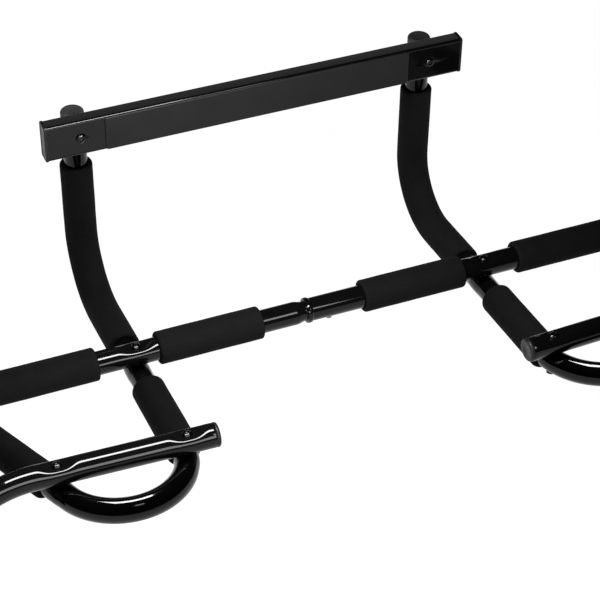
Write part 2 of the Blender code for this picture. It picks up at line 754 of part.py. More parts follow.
def main():
    clear_scene()
    assembly = bpy.data.objects.new("pull_up_bar", None)
    bpy.context.scene.collection.objects.link(assembly)
    looks = {
        "paint": make_material("gloss_black_paint", (0.010, 0.010, 0.011), 0.18),
        "foam": make_material("black_foam", (0.016, 0.016, 0.016), 0.85),
        "pad": make_material("black_rubber", (0.022, 0.022, 0.022), 0.60),
        "plastic": make_material("dark_grey_plastic", (0.035, 0.035, 0.036), 0.45),
        "steel": make_material("dark_steel", (0.12, 0.12, 0.12), 0.25, 1.0),
    }
    rail = make_rail(looks, assembly)
    arms = [make_arm(side, label, looks, assembly) for side, label in SIDE_LABELS]
    halves = [make_main_bar_half(side, label, looks, assembly) for side, label in SIDE_LABELS]
    front_bars = [make_front_bar(side, label, looks, assembly) for side, label in SIDE_LABELS]
    make_bolts(rail, arms, halves, front_bars, looks, assembly)
    make_snap_button(looks, assembly)
    cut_button_holes(halves, assembly)
    make_button_spring(looks, assembly)
    stand_on_origin(assembly)


main()
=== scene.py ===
"""Looks of the doorway pull-up bar: smooth tubes, foam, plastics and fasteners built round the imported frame.

The rail, the pad, the caps and the main bar's foam are placed from the frame's boxes. The bent tubes are
walked from the same few dimensions as the frame, and meet it everywhere. Lengths are in metres.
"""

import json
import math

import bmesh
import bpy
from mathutils import Matrix, Vector, noise


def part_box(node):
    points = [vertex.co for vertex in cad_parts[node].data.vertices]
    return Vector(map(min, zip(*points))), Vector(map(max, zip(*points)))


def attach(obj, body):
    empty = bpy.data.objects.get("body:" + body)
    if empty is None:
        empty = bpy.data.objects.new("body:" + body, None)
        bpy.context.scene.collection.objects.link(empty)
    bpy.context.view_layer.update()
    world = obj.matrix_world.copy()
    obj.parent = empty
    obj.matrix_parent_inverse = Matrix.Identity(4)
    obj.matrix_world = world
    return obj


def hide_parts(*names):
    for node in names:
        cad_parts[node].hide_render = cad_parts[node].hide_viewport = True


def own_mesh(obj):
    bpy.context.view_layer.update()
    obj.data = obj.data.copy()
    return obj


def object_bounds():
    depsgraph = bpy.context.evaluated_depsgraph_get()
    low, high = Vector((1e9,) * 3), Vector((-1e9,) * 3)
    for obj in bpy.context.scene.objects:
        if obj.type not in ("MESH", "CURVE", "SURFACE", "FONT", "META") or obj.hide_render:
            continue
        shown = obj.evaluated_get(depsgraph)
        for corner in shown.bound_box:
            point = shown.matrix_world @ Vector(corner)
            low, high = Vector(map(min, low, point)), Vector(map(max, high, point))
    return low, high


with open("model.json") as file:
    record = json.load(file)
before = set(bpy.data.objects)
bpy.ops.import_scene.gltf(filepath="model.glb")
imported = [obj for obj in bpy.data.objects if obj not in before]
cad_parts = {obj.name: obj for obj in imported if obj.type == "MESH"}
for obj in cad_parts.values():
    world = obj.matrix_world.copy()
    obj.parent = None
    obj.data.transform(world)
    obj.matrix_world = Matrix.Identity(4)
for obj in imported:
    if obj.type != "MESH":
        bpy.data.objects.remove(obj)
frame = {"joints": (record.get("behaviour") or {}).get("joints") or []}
CAD_LOW, CAD_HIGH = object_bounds()

# ---------------- dimensions

# How finely the meshes are cut.
SIDES = 64
TURNED_SIDES = 48
ARC_STEP = math.radians(2)
LINE_STEP = 0.0200
DENT_STEP = 0.0008
FOAM_STEP = 0.0020
SHORTEST_STEP = 0.0001
SHARP_ANGLE = math.radians(40)

# The gap between pieces that touch, the steel tube, what slides into its end, and the foam sleeves on it.
GAP = 0.0003
TUBE_RADIUS = 0.0125
TUBE_WALL = 0.0015
INSERT_RADIUS = TUBE_RADIUS - TUBE_WALL - GAP
RIM_ROUNDING = 0.0004
RIM_STEP = RIM_ROUNDING * 0.3
FOAM_RADIUS = 0.0175
FOAM_BORE = TUBE_RADIUS + GAP / 6
FOAM_ROUNDING = 0.0026
FOAM_WAVE = 0.00012
FOAM_WAVES_PER_METRE = 55

# Directions. The snap button's axis is square to the legs, and so is every bolt through a bar.
UP = Vector(frame["joints"][0]["axis"])
FORWARD = Vector((0, -UP.z, UP.y))
OUTWARD = Vector((1, 0, 0))
DOWN = Vector((0, 0, -1))
TOWARDS_USER = Vector((0, -1, 0))
SIDE_LABELS = ((-1, "left"), (1, "right"))

# The arms: an upright, a bend, and a leg that turns back in a loop.
ARM_BEND_RADIUS = 0.0666
LOOP_START = 0.1392
LOOP_RADIUS = 0.0641
LOOP_TURN = math.radians(157.6)
LEG_TAIL = 0.0250
LEG_PITCH = math.asin(UP.y)
ARM_GRIP_TOP = 0.0580
ARM_GRIP_GAP = 0.0450
LEG_GRIP_START = 0.0314
LEG_GRIP_GAP = 0.0130
OUTER_LEG_GRIP_GAP = 0.0178

# The dimples pressed into the tubes where they are bolted, and the distance between two crossing tubes' axes.
HEAD_DENT_DEPTH = 0.0042
NUT_DENT_DEPTH = 0.0036
SEAT_DENT_DEPTH = 0.0010
DENT_FLAT = 0.0030
HEAD_DENT_RAMP = 0.0190
NUT_DENT_RAMP = 0.0110
DENT_BULGE = 0.10
DIMPLE_REACH = math.radians(62)
DIMPLE_SEAT = 0.0053
STACK = 2 * (TUBE_RADIUS - SEAT_DENT_DEPTH) + GAP

# The main bar's joint: the left half's neck slides into the right half's mouth, and the snap button holds it.
MOUTH_X = -0.0122
MOUTH_BEAD = 0.0014
BEAD_WIDTH = 0.0060
NECK_START_X = -0.0240
NECK_END_X = -0.0135
NECK_TIP_X = 0.0520
BUTTON_X = 0.0155
BUTTON_RADIUS = 0.0036
BUTTON_PROUD = 0.0040
BUTTON_DOME = 0.0022
FLANGE_RADIUS = 0.0050
FLANGE_START = 0.0060
FLANGE_END = 0.0071
SPRING_THICKNESS = 0.0008
SPRING_WIDTH = 0.0080
SPRING_GAP = 0.0004
SPRING_HEADROOM = 0.0012

# The short front bars: bolted over both legs of a loop, and bent down beyond the outer one.
FRONT_BAR_FORWARD = 0.1560
FRONT_BAR_SWEEP = math.radians(2.5)
FRONT_BAR_OVERHANG = 0.0275
FRONT_BEND_START = 0.0235
FRONT_BEND_RADIUS = 0.0990
FRONT_BEND_TURN = math.radians(32)
FRONT_TAIL = 0.0684
FRONT_GRIP_END_GAP = 0.0060

# Plugs and caps.
STEM_LENGTH = 0.0080
STEM_TAPER = 0.0012
STEM_TIP_SHARE = 0.9
PLUG_HEAD = 0.0038
PLUG_EDGE = 0.0026
PLUG_DIMPLE_RADIUS = 0.0040
CROWN_DEPTH = 0.0003
CAP_SHOULDER = 0.0026
CAP_STEM_TAPER = 0.0010
CAP_EDGE = 0.0004

# Bolts and nuts.
BOLT_RADIUS = 0.0030
BOLT_END_RADIUS = 0.0023
BOLT_END_CHAMFER = 0.0005
BOLT_HEAD_RADIUS = 0.0050
BOLT_HEAD_HEIGHT = 0.0031
SOCKET_RADIUS = 0.0023
SOCKET_DEPTH = 0.0018
SOCKET_LEAD = 0.0002
SOCKET_POINT = 0.0005
BOLT_PAST_NUT = 0.0016
THREAD_LENGTH = 0.0090
THREAD_PITCH = 0.0010
THREAD_DEPTH = 0.00035
NUT_RADIUS = 0.0056
NUT_HEIGHT = 0.0048
NUT_BORE_CHAMFER = 0.0004

# The rail, its end plugs and its pad.
RAIL_CORNER = 0.0030
RAIL_FACE_ROWS = 56
RAIL_MIDDLE_REACH = 0.18
RAIL_DISH_RADIUS = 0.0062
RAIL_DISH_DEPTH = 0.0008
RAIL_DISH_SLOPE = 0.35
RAIL_PLUG_STEM = 0.0140
RAIL_PLUG_EDGE = 0.0012
RAIL_PLUG_RIM = 0.0030
RAIL_PLUG_SINK = 0.0004
PAD_EDGE = 0.0015
PAD_CORNER = 0.0026


# ---------------- places read from the frame


def box_of(node):
    """The lowest and the highest corner of a CAD node, at rest."""
    low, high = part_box(node)
    return Vector(low), Vector(high)


def middle_of(node):
    low, high = box_of(node)
    return (low + high) / 2


# The middle of the main bar's axis.
_, BAR_Y, BAR_Z = middle_of("main_bar_end_cap_right")
BAR = Vector((0, BAR_Y, BAR_Z))
MAIN_HALF = box_of("main_bar_right_tube")[1].x
RAIL_LOW, RAIL_HIGH = box_of("rear_rail")
RAIL_MIDDLE = (RAIL_LOW + RAIL_HIGH) / 2
PAD_LOW, PAD_HIGH = box_of("rail_pad")
ARM_X, ARM_Y, _ = middle_of("arm_top_cap_right")
ARM_TOP_Z = box_of("arm_tube_right")[1].z


# ---------------- meshes made of rings of points


def object_from(name, mesh):
    """Turns the mesh into an object in the scene."""
    data = bpy.data.meshes.new(name)
    mesh.to_mesh(data)
    mesh.free()
    made = bpy.data.objects.new(name, data)
    bpy.context.scene.collection.objects.link(made)
    return made


def shade(data):
    """Smooth shading between faces that meet at a small angle, and a sharp edge between others."""
    data.shade_smooth()
    data.set_sharp_from_angle(angle=SHARP_ANGLE)


def finish_piece(name, mesh, look, body="frame"):
    """Turns the mesh into a shown piece that rides on a body and stands for the CAD node of its name."""
    bmesh.ops.recalc_face_normals(mesh, faces=mesh.faces)
    piece = object_from(name, mesh)
    material, slot = LOOKS[look]
    piece.data.materials.append(material)
    shade(piece.data)
    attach(piece, body)
    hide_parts(name)
    return piece


def add_points(mesh, rings):
    """Adds the rings' points, and returns them ring by ring."""
    return [[mesh.verts.new(point) for point in ring] for ring in rings]


def join_rings(mesh, rings):
    """Adds the faces between each ring and the next."""
    for lower, upper in zip(rings, rings[1:]):
        for i in range(len(lower)):
            j = (i + 1) % len(lower)
            mesh.faces.new((lower[i], lower[j], upper[j], upper[i]))


def solid_mesh(rings):
    """A closed form through the rings, with a face across the first and the last one."""
    mesh = bmesh.new()
    rings = add_points(mesh, rings)
    join_rings(mesh, rings)
    mesh.faces.new(rings[0])
    mesh.faces.new(rings[-1])
    return mesh


def solid_piece(name, rings, look, body="frame"):
    return finish_piece(name, solid_mesh(rings), look, body)


def hollow_piece(name, outer_rings, inner_rings, look):
    """A piece with an outer and an inner wall, and a rim at each end."""
    mesh = bmesh.new()
    outer = add_points(mesh, outer_rings)
    inner = add_points(mesh, inner_rings)
    join_rings(mesh, outer)
    join_rings(mesh, inner)
    join_rings(mesh, [outer[0], inner[0]])
    join_rings(mesh, [outer[-1], inner[-1]])
    return finish_piece(name, mesh, look)


def cross_frame(axis):
    """Two unit vectors square to the axis. The second points up, or at the wall where the axis is steep."""
    hint = Vector((0, 0, 1)) if abs(axis.z) < 0.5 else Vector((0, 1, 0))
    rise = (hint - axis * hint.dot(axis)).normalized()
    return axis.cross(rise).normalized(), rise


def turned_ring(centre, axis, radius_at):
    """A ring about an axis. Its radius is a number, or a function of the angle."""
    across, rise = cross_frame(axis)
    ring = []
    for i in range(TURNED_SIDES):
        angle = 2 * math.pi * i / TURNED_SIDES
        radius = radius_at(angle) if callable(radius_at) else radius_at
        ring.append(centre + (across * math.cos(angle) + rise * math.sin(angle)) * radius)
    return ring


def turned_rings(start, axis, profile):
    """Rings along an axis. The profile lists (distance along the axis, radius)."""
    return [turned_ring(start + axis * along, axis, radius) for along, radius in profile]


def hexagon(radius, limit=math.inf):
    """A hexagon's radius as a function of the angle, from its corner radius. The limit cuts its corners."""
    apothem = radius * math.cos(math.pi / 6)

    def radius_at(angle):
        return min(limit, apothem / math.cos((angle % (math.pi / 3)) - math.pi / 6))

    return radius_at


def arc(centre_along, centre_radius, radius, first, last, steps):
    """Profile points on a rounded edge, from one angle to another in degrees. 0 points outwards, 90 along."""
    points = []
    for i in range(steps + 1):
        angle = math.radians(first + (last - first) * i / steps)
        points.append((centre_along + radius * math.sin(angle), centre_radius + radius * math.cos(angle)))
    return points


def smooth(share):
    """Eases from 0 to 1, and stays there outside that range."""
    share = min(1.0, max(0.0, share))
    return share * share * (3 - 2 * share)


def steps_between(first, last, spacing):
    """Evenly spaced numbers from first to last, no further apart than the spacing."""
    count = max(1, math.ceil((last - first) / spacing))
    return [first + (last - first) * i / count for i in range(count + 1)]


# ---------------- tubes that follow a centreline


def place(route, distance):
    """The centreline's point, heading and rise at a distance along the route.

    A route is (start, heading, rise, moves). A move is ("line", length) or ("turn", radius, angle, axis).
    """
    point, heading, rise, moves = route
    left = distance
    for move in moves:
        if move[0] == "line":
            step = min(left, move[1])
            point = point + heading * step
        else:
            _, radius, angle, axis = move
            step = min(left, radius * angle)
            turn = Matrix.Rotation(step / radius, 3, axis)
            centre = point + axis.cross(heading) * radius
            point = centre + turn @ (point - centre)
            heading = turn @ heading
            rise = turn @ rise
        left -= step
        if left <= 0:
            break
    return point, heading, rise


def length_of(moves):
    return sum(move[1] if move[0] == "line" else move[1] * move[2] for move in moves)


def tube_stops(moves, dents):
    """Distances along a tube for its rings: fine in turns and dents, and at the ends for a rounded rim."""
    stops = [0.0, RIM_STEP, RIM_ROUNDING]
    first = 0.0
    for move in moves:
        last = first + length_of([move])
        stops += steps_between(first, last, move[1] * ARC_STEP if move[0] == "turn" else LINE_STEP)
        first = last
    for middle, ramp, _depth, _face in dents:
        reach = DENT_FLAT + ramp
        stops += steps_between(middle - reach, middle + reach, DENT_STEP)
    stops += [first - RIM_ROUNDING, first - RIM_STEP]
    kept = []
    for stop in sorted(stop for stop in stops if 0 <= stop <= first):
        if not kept or stop - kept[-1] > SHORTEST_STEP:
            kept.append(stop)
    kept[-1] = first
    return kept


def dent_at(dents, distance, face):
    """How far the wall is pressed in at this distance, on the upper (+1) or the lower (-1) face.

    A dent is (distance of its middle, length of its ramps, depth, face).
    """
    deepest = 0.0
    for middle, ramp, depth, dent_face in dents:
        if dent_face == face:
            deepest = max(deepest, depth * smooth(1 - (abs(distance - middle) - DENT_FLAT) / ramp))
    return deepest


def pressed(radius, turn, depth):
    """The height of a wall point in a dent: a round dimple with a flat in it, as wide as a bolt head.

    The turn is the point's angle from the middle of the dent.
    """
    height = radius * math.cos(turn)
    if depth <= 0 or abs(turn) >= DIMPLE_REACH:
        return height
    height -= depth * (1 + math.cos(math.pi * turn / DIMPLE_REACH)) / 2
    beside_seat = max(0.0, radius * abs(math.sin(turn)) - DIMPLE_SEAT)
    return min(height, radius - depth + beside_seat)


def tube_ring(route, distance, radius, dents):
    """A ring of a tube's wall. Where the wall is pressed in, its sides bulge a little."""
    point, heading, rise = place(route, distance)
    across = heading.cross(rise).normalized()
    top = dent_at(dents, distance, 1)
    bottom = dent_at(dents, distance, -1)
    half_width = radius + (top + bottom) * DENT_BULGE
    ring = []
    for i in range(SIDES):
        angle = 2 * math.pi * i / SIDES
        if math.sin(angle) > 0:
            lift = pressed(radius, angle - math.pi / 2, top)
        else:
            lift = -pressed(radius, angle - 3 * math.pi / 2, bottom)
        ring.append(point + across * (half_width * math.cos(angle)) + rise * lift)
    return ring


def tube_piece(name, route, dents, radius_at=None):
    """A painted tube with rounded rims. Its radius may be a function of the distance along it."""
    length = length_of(route[3])
    outer = []
    inner = []
    for stop in tube_stops(route[3], dents):
        radius = radius_at(stop) if radius_at else TUBE_RADIUS
        into_rim = RIM_ROUNDING - min(stop, length - stop, RIM_ROUNDING)
        rounding = RIM_ROUNDING - math.sqrt(max(0.0, RIM_ROUNDING**2 - into_rim**2))
        outer.append(tube_ring(route, stop, radius - rounding, dents))
        inner.append(tube_ring(route, stop, radius - TUBE_WALL, dents))
    return hollow_piece(name, outer, inner, "paint")


def foam_ring(route, distance, radius, wave):
    """A ring of foam. The wave is how far its skin may wander from a true circle."""
    point, heading, rise = place(route, distance)
    across = heading.cross(rise).normalized()
    ring = []
    for i in range(SIDES):
        angle = 2 * math.pi * i / SIDES
        way = across * math.cos(angle) + rise * math.sin(angle)
        wander = wave * noise.noise((point + way * radius) * FOAM_WAVES_PER_METRE) if wave else 0.0
        ring.append(point + way * (radius + wander))
    return ring


def foam_piece(name, route, first, last):
    """A foam sleeve with rounded, slightly sunken ends."""
    outer = []
    ends = arc(0, FOAM_RADIUS - FOAM_ROUNDING, FOAM_ROUNDING, 90, 0, 8)
    for along, radius in ends:
        outer.append(foam_ring(route, first + FOAM_ROUNDING - along, radius, FOAM_WAVE / 2))
    for stop in steps_between(first + FOAM_ROUNDING, last - FOAM_ROUNDING, FOAM_STEP)[1:-1]:
        outer.append(foam_ring(route, stop, FOAM_RADIUS, FOAM_WAVE))
    for along, radius in reversed(ends):
        outer.append(foam_ring(route, last - FOAM_ROUNDING + along, radius, FOAM_WAVE / 2))
    inner = [foam_ring(route, first + GAP, FOAM_BORE + GAP, 0)]
    for stop in steps_between(first + 3 * GAP, last - 3 * GAP, 4 * FOAM_STEP):
        inner.append(foam_ring(route, stop, FOAM_BORE, 0))
    inner.append(foam_ring(route, last - GAP, FOAM_BORE + GAP, 0))
    piece = hollow_piece(name, outer, inner, "foam")
    return piece


# ---------------- the plan of legs, loops and bars


def leg_point(x, forward, lift):
    """A point in the legs' tilted frame: sideways, forward from the main bar, and square to the legs."""
    return BAR + OUTWARD * x + FORWARD * forward + UP * lift


def outer_leg_line():
    """Where the outer leg starts, in plan, and the way it runs: (x, forward) for each."""
    start = (
        ARM_X + LOOP_RADIUS * (1 - math.cos(LOOP_TURN)),
        LOOP_START + LOOP_RADIUS * math.sin(LOOP_TURN),
    )
    return start, (math.sin(LOOP_TURN), math.cos(LOOP_TURN))


def outer_leg_at_front_bar():
    """How far along the outer leg it passes under the front bar's axis."""
    (x, forward), (run_x, run_forward) = outer_leg_line()
    slope = math.tan(FRONT_BAR_SWEEP)
    excess = forward - (FRONT_BAR_FORWARD - (x - ARM_X) * slope)
    return excess / -(run_forward + run_x * slope)


def outer_leg_at_main_bar():
    """How far along the outer leg it passes under the main bar's axis."""
    (_, forward), (_, run_forward) = outer_leg_line()
    return -forward / run_forward


def outer_leg_point(along):
    """The place in plan, (x, forward), at a distance along the outer leg."""
    (x, forward), (run_x, run_forward) = outer_leg_line()
    return x + run_x * along, forward + run_forward * along


def upper_tube_dents(distance):
    """A deep dimple for the bolt head, and a seat on the tube below."""
    return [(distance, HEAD_DENT_RAMP, HEAD_DENT_DEPTH, 1), (distance, HEAD_DENT_RAMP, SEAT_DENT_DEPTH, -1)]


def lower_tube_dents(distance):
    """A seat for the tube on top, and a deep dimple for the nut."""
    return [(distance, NUT_DENT_RAMP, SEAT_DENT_DEPTH, 1), (distance, NUT_DENT_RAMP, NUT_DENT_DEPTH, -1)]


def arm_lengths():
    """The upright's length, and the straight's length from the bend to the main bar."""
    crossing = leg_point(0, 0, -STACK)
    reach = ARM_BEND_RADIUS * (1 + math.sin(LEG_PITCH))
    lower = (ARM_Y - reach - crossing.y) / math.cos(LEG_PITCH)
    bend_end_z = crossing.z - lower * math.sin(LEG_PITCH)
    return ARM_TOP_Z - (bend_end_z + ARM_BEND_RADIUS * math.cos(LEG_PITCH)), lower


# ---------------- arms and bars


def make_arm(side, label):
    """The whole bent tube, from the upright to the outer leg, with its end plug. Returns it and its grips."""
    upright, lower = arm_lengths()
    bend_turn = math.pi / 2 + LEG_PITCH
    at_main = upright + ARM_BEND_RADIUS * bend_turn + lower
    at_front = at_main + FRONT_BAR_FORWARD
    loop_end = at_main + LOOP_START + LOOP_RADIUS * LOOP_TURN
    at_front_outer = loop_end + outer_leg_at_front_bar()
    at_main_outer = loop_end + outer_leg_at_main_bar()
    moves = [
        ("line", upright),
        ("turn", ARM_BEND_RADIUS, bend_turn, Vector((-1, 0, 0))),
        ("line", lower + LOOP_START),
        ("turn", LOOP_RADIUS, LOOP_TURN, UP * side),
        ("line", outer_leg_at_main_bar() + LEG_TAIL),
    ]
    route = (Vector((side * ARM_X, ARM_Y, ARM_TOP_Z)), DOWN, TOWARDS_USER, moves)
    dents = [(ARM_TOP_Z - RAIL_MIDDLE.z, NUT_DENT_RAMP, SEAT_DENT_DEPTH, -1)]
    for distance in (at_main, at_front, at_front_outer, at_main_outer):
        dents += lower_tube_dents(distance)
    tube = tube_piece(f"arm_tube_{label}", route, dents)
    stretches = {
        "arm_grip": (ARM_GRIP_TOP, at_main - ARM_GRIP_GAP),
        "inner_leg_grip": (at_main + LEG_GRIP_START, at_front - LEG_GRIP_GAP),
        "outer_leg_grip": (at_front_outer + OUTER_LEG_GRIP_GAP, at_main_outer - LEG_GRIP_START),
    }
    grips = [foam_piece(f"{name}_{label}", route, *stretch) for name, stretch in stretches.items()]
    end, heading, _ = place(route, length_of(moves))
    make_flat_plug(f"leg_end_plug_{label}", end, heading)
    return tube, grips


def make_main_bar_half(side, label):
    """The left half ends in a neck, and the right half in a beaded mouth. Returns the half's foam pieces."""
    inner_end = NECK_TIP_X if side < 0 else MOUTH_X
    moves = [("line", MAIN_HALF - side * inner_end)]
    route = (BAR + OUTWARD * (side * MAIN_HALF), OUTWARD * -side, UP, moves)

    def necked_radius(distance):
        share = (distance - MAIN_HALF - NECK_START_X) / (NECK_END_X - NECK_START_X)
        return TUBE_RADIUS + (INSERT_RADIUS - TUBE_RADIUS) * smooth(share)

    def beaded_radius(distance):
        x = MAIN_HALF - distance
        bead = 1 - ((x - MOUTH_X - BEAD_WIDTH / 2) / (BEAD_WIDTH / 2)) ** 2
        return TUBE_RADIUS + MOUTH_BEAD * math.sqrt(max(0.0, bead))

    outer_x, _ = outer_leg_point(outer_leg_at_main_bar())
    dents = []
    for x in (ARM_X, outer_x):
        dents += upper_tube_dents(MAIN_HALF - x)
    # A dent of no depth asks for fine rings: at the neck or the bead, and round the snap button.
    shaped = (NECK_START_X + NECK_END_X) / 2 if side < 0 else MOUTH_X + BEAD_WIDTH / 2
    for x in (shaped, BUTTON_X):
        dents.append((MAIN_HALF - side * x, NUT_DENT_RAMP, 0.0, 1))
    tube = tube_piece(f"main_bar_{label}_tube", route, dents, necked_radius if side < 0 else beaded_radius)
    cut_button_hole(tube)
    grips = []
    for name in ("main_inner_grip", "main_outer_grip", "main_bar_end_sleeve"):
        low, high = box_of(f"{name}_{label}")
        first, last = sorted(MAIN_HALF - side * x for x in (low.x, high.x))
        grips.append(foam_piece(f"{name}_{label}", route, first, last))
    return grips


def cut_button_hole(tube):
    """Cuts the snap button's hole through the underside of one half of the main bar."""
    radius = BUTTON_RADIUS + GAP
    profile = [(TUBE_RADIUS / 2, radius), (TUBE_RADIUS + 2 * TUBE_WALL, radius)]
    mesh = solid_mesh(turned_rings(BAR + OUTWARD * BUTTON_X, -UP, profile))
    bmesh.ops.recalc_face_normals(mesh, faces=mesh.faces)
    cutter = object_from("button_hole", mesh)
    modifier = tube.modifiers.new("button_hole", "BOOLEAN")
    modifier.object = cutter
    modifier.operation = "DIFFERENCE"
    evaluated = tube.evaluated_get(bpy.context.evaluated_depsgraph_get())
    drilled = bpy.data.meshes.new_from_object(evaluated)
    tube.modifiers.clear()
    tube.data = drilled
    shade(drilled)
    bpy.data.objects.remove(cutter)


def make_front_bar(side, label):
    """A front bar with its plugs and grip. Returns the grip, and the places of its two bolts on its axis."""
    sweep = Matrix.Rotation(side * FRONT_BAR_SWEEP, 3, UP)
    heading = sweep @ (OUTWARD * side)
    inner_seat = leg_point(side * ARM_X, FRONT_BAR_FORWARD, 0)
    outer_x, outer_forward = outer_leg_point(outer_leg_at_front_bar())
    outer_seat = leg_point(side * outer_x, outer_forward, 0)
    start = inner_seat - heading * FRONT_BAR_OVERHANG
    outer_distance = (outer_seat - start).length
    bend_start = outer_distance + FRONT_BEND_START
    tail_start = bend_start + FRONT_BEND_RADIUS * FRONT_BEND_TURN
    moves = [
        ("line", bend_start),
        ("turn", FRONT_BEND_RADIUS, FRONT_BEND_TURN, UP.cross(heading).normalized()),
        ("line", FRONT_TAIL),
    ]
    route = (start, heading, UP, moves)
    dents = upper_tube_dents(FRONT_BAR_OVERHANG) + upper_tube_dents(outer_distance)
    tube_piece(f"front_bar_{label}", route, dents)
    tail_end = tail_start + FRONT_TAIL - FRONT_GRIP_END_GAP
    grip = foam_piece(f"front_bar_grip_{label}", route, tail_start, tail_end)
    end, end_heading, _ = place(route, length_of(moves))
    make_flat_plug(f"front_bar_inner_plug_{label}", start, -heading)
    make_flat_plug(f"front_bar_outer_plug_{label}", end, end_heading)
    return grip, (inner_seat, outer_seat)


# ---------------- plugs and caps


def stem_profile(length, taper):
    """A plug's stem inside a tube, narrower at its tip, up to the gap under the plug's head."""
    return [
        (-length, INSERT_RADIUS * STEM_TIP_SHARE),
        (taper - length, INSERT_RADIUS),
        (GAP / 2, INSERT_RADIUS),
    ]


def make_flat_plug(name, mouth, axis):
    """A moulded plug with a rounded head edge and a shallow dimple where it was gated."""
    profile = stem_profile(STEM_LENGTH, STEM_TAPER) + [(GAP / 2, TUBE_RADIUS)]
    profile += arc(PLUG_HEAD - PLUG_EDGE, TUBE_RADIUS - PLUG_EDGE, PLUG_EDGE, 0, 90, 8)
    sunk = PLUG_HEAD - CROWN_DEPTH
    profile += [(PLUG_HEAD, PLUG_DIMPLE_RADIUS)]
    profile += [(sunk, PLUG_DIMPLE_RADIUS * 0.85), (sunk, PLUG_DIMPLE_RADIUS / 8)]
    solid_piece(name, turned_rings(mouth, axis, profile), "plug")


def make_arm_cap(side, label):
    """A cap as wide as the arm, with a flat crown. Its side is cut flat where it would touch the rail."""
    name = f"arm_top_cap_{label}"
    low, high = box_of(name)
    start = Vector((side * ARM_X, ARM_Y, ARM_TOP_Z))
    height = high.z - ARM_TOP_Z
    clearance = ARM_Y - RAIL_HIGH.y - GAP
    across, rise = cross_frame(-DOWN)
    towards_rail = math.atan2(TOWARDS_USER.dot(rise), TOWARDS_USER.dot(across))

    def held_off_rail(radius):
        def radius_at(angle):
            facing = max(math.cos(angle - towards_rail), 1e-6)
            return min(radius, clearance / facing)

        return radius_at

    profile = stem_profile(ARM_TOP_Z - low.z, CAP_STEM_TAPER)
    profile += [(GAP / 2, held_off_rail(TUBE_RADIUS - CAP_EDGE)), (GAP * 2, held_off_rail(TUBE_RADIUS))]
    for along, radius in arc(height - CAP_SHOULDER, TUBE_RADIUS - CAP_SHOULDER, CAP_SHOULDER, 0, 90, 10):
        profile.append((along, held_off_rail(radius)))
    sunk = height - CROWN_DEPTH
    profile += [(height, TUBE_RADIUS * 0.62), (sunk, TUBE_RADIUS * 0.58), (sunk, TUBE_RADIUS * 0.08)]
    solid_piece(name, turned_rings(start, -DOWN, profile), "plastic")


def make_end_cap(side, label):
    """A domed cap over the main bar's outer end."""
    name = f"main_bar_end_cap_{label}"
    low, high = box_of(name)
    height = (high.x - low.x) - STEM_LENGTH
    radius = (high.z - low.z) / 2
    shoulder = height * 0.7
    profile = stem_profile(STEM_LENGTH, STEM_TAPER) + [(GAP / 2, radius)]
    profile += arc(height - shoulder, radius - shoulder, shoulder, 0, 90, 12)
    profile += [(height, radius * 0.15)]
    start = BAR + OUTWARD * (side * MAIN_HALF)
    solid_piece(name, turned_rings(start, OUTWARD * side, profile), "plastic")


# ---------------- the rail


def rounded_outline(width, height, corner, steps=8):
    """Points round a rectangle with rounded corners: (sideways, up) from its middle, anticlockwise."""
    points = []
    for quarter in range(4):
        sign_x = 1 if quarter in (0, 3) else -1
        sign_z = 1 if quarter < 2 else -1
        for i in range(steps + 1):
            angle = math.pi / 2 * (quarter + i / steps)
            x = sign_x * (width / 2 - corner) + corner * math.cos(angle)
            points.append((x, sign_z * (height / 2 - corner) + corner * math.sin(angle)))
    return points


def rail_ring(x, outline):
    """A ring round the rail's middle line. The outline lists (towards the wall, up)."""
    return [Vector((x, RAIL_MIDDLE.y + across, RAIL_MIDDLE.z + up)) for across, up in outline]


def rail_stops():
    """Places along the rail for its rings: fine at the bolts' dishes, and at the ends for a rounded rim."""
    half = RAIL_HIGH.x
    stops = [-half, -half + RIM_ROUNDING, half - RIM_ROUNDING, half]
    for side, _label in SIDE_LABELS:
        seat = side * ARM_X
        stops += steps_between(seat - RAIL_DISH_RADIUS, seat + RAIL_DISH_RADIUS, DENT_STEP)
    stops += steps_between(-RAIL_MIDDLE_REACH, RAIL_MIDDLE_REACH, LINE_STEP)
    return sorted(stops)


def make_rail():
    """A rectangular tube. Its front face is cut into rows, and has a shallow dish round each bolt."""
    depth = RAIL_HIGH.y - RAIL_LOW.y
    height = RAIL_HIGH.z - RAIL_LOW.z
    outer = rounded_outline(depth, height, RAIL_CORNER)
    inner = rounded_outline(depth - 2 * TUBE_WALL, height - 2 * TUBE_WALL, RAIL_CORNER - TUBE_WALL * 0.8)
    # The front face lies between this point, halfway round the outline, and the next.
    seam = len(outer) // 2 - 1

    def with_rows(outline):
        (across, top), (_, bottom) = outline[seam : seam + 2]
        rows = range(1, RAIL_FACE_ROWS)
        face = [(across, top + (bottom - top) * i / RAIL_FACE_ROWS) for i in rows]
        return outline[: seam + 1] + face + outline[seam + 1 :]

    outer_rings = []
    inner_rings = []
    for x in rail_stops():
        ring = rail_ring(x, with_rows(outer))
        for point in ring[seam : seam + RAIL_FACE_ROWS + 1]:
            away = math.hypot(abs(x) - ARM_X, point.z - RAIL_MIDDLE.z) / RAIL_DISH_RADIUS
            point.y += RAIL_DISH_DEPTH * smooth((1 - away) / RAIL_DISH_SLOPE)
        outer_rings.append(ring)
        inner_rings.append(rail_ring(x, with_rows(inner)))
    return hollow_piece("rear_rail", outer_rings, inner_rings, "paint")


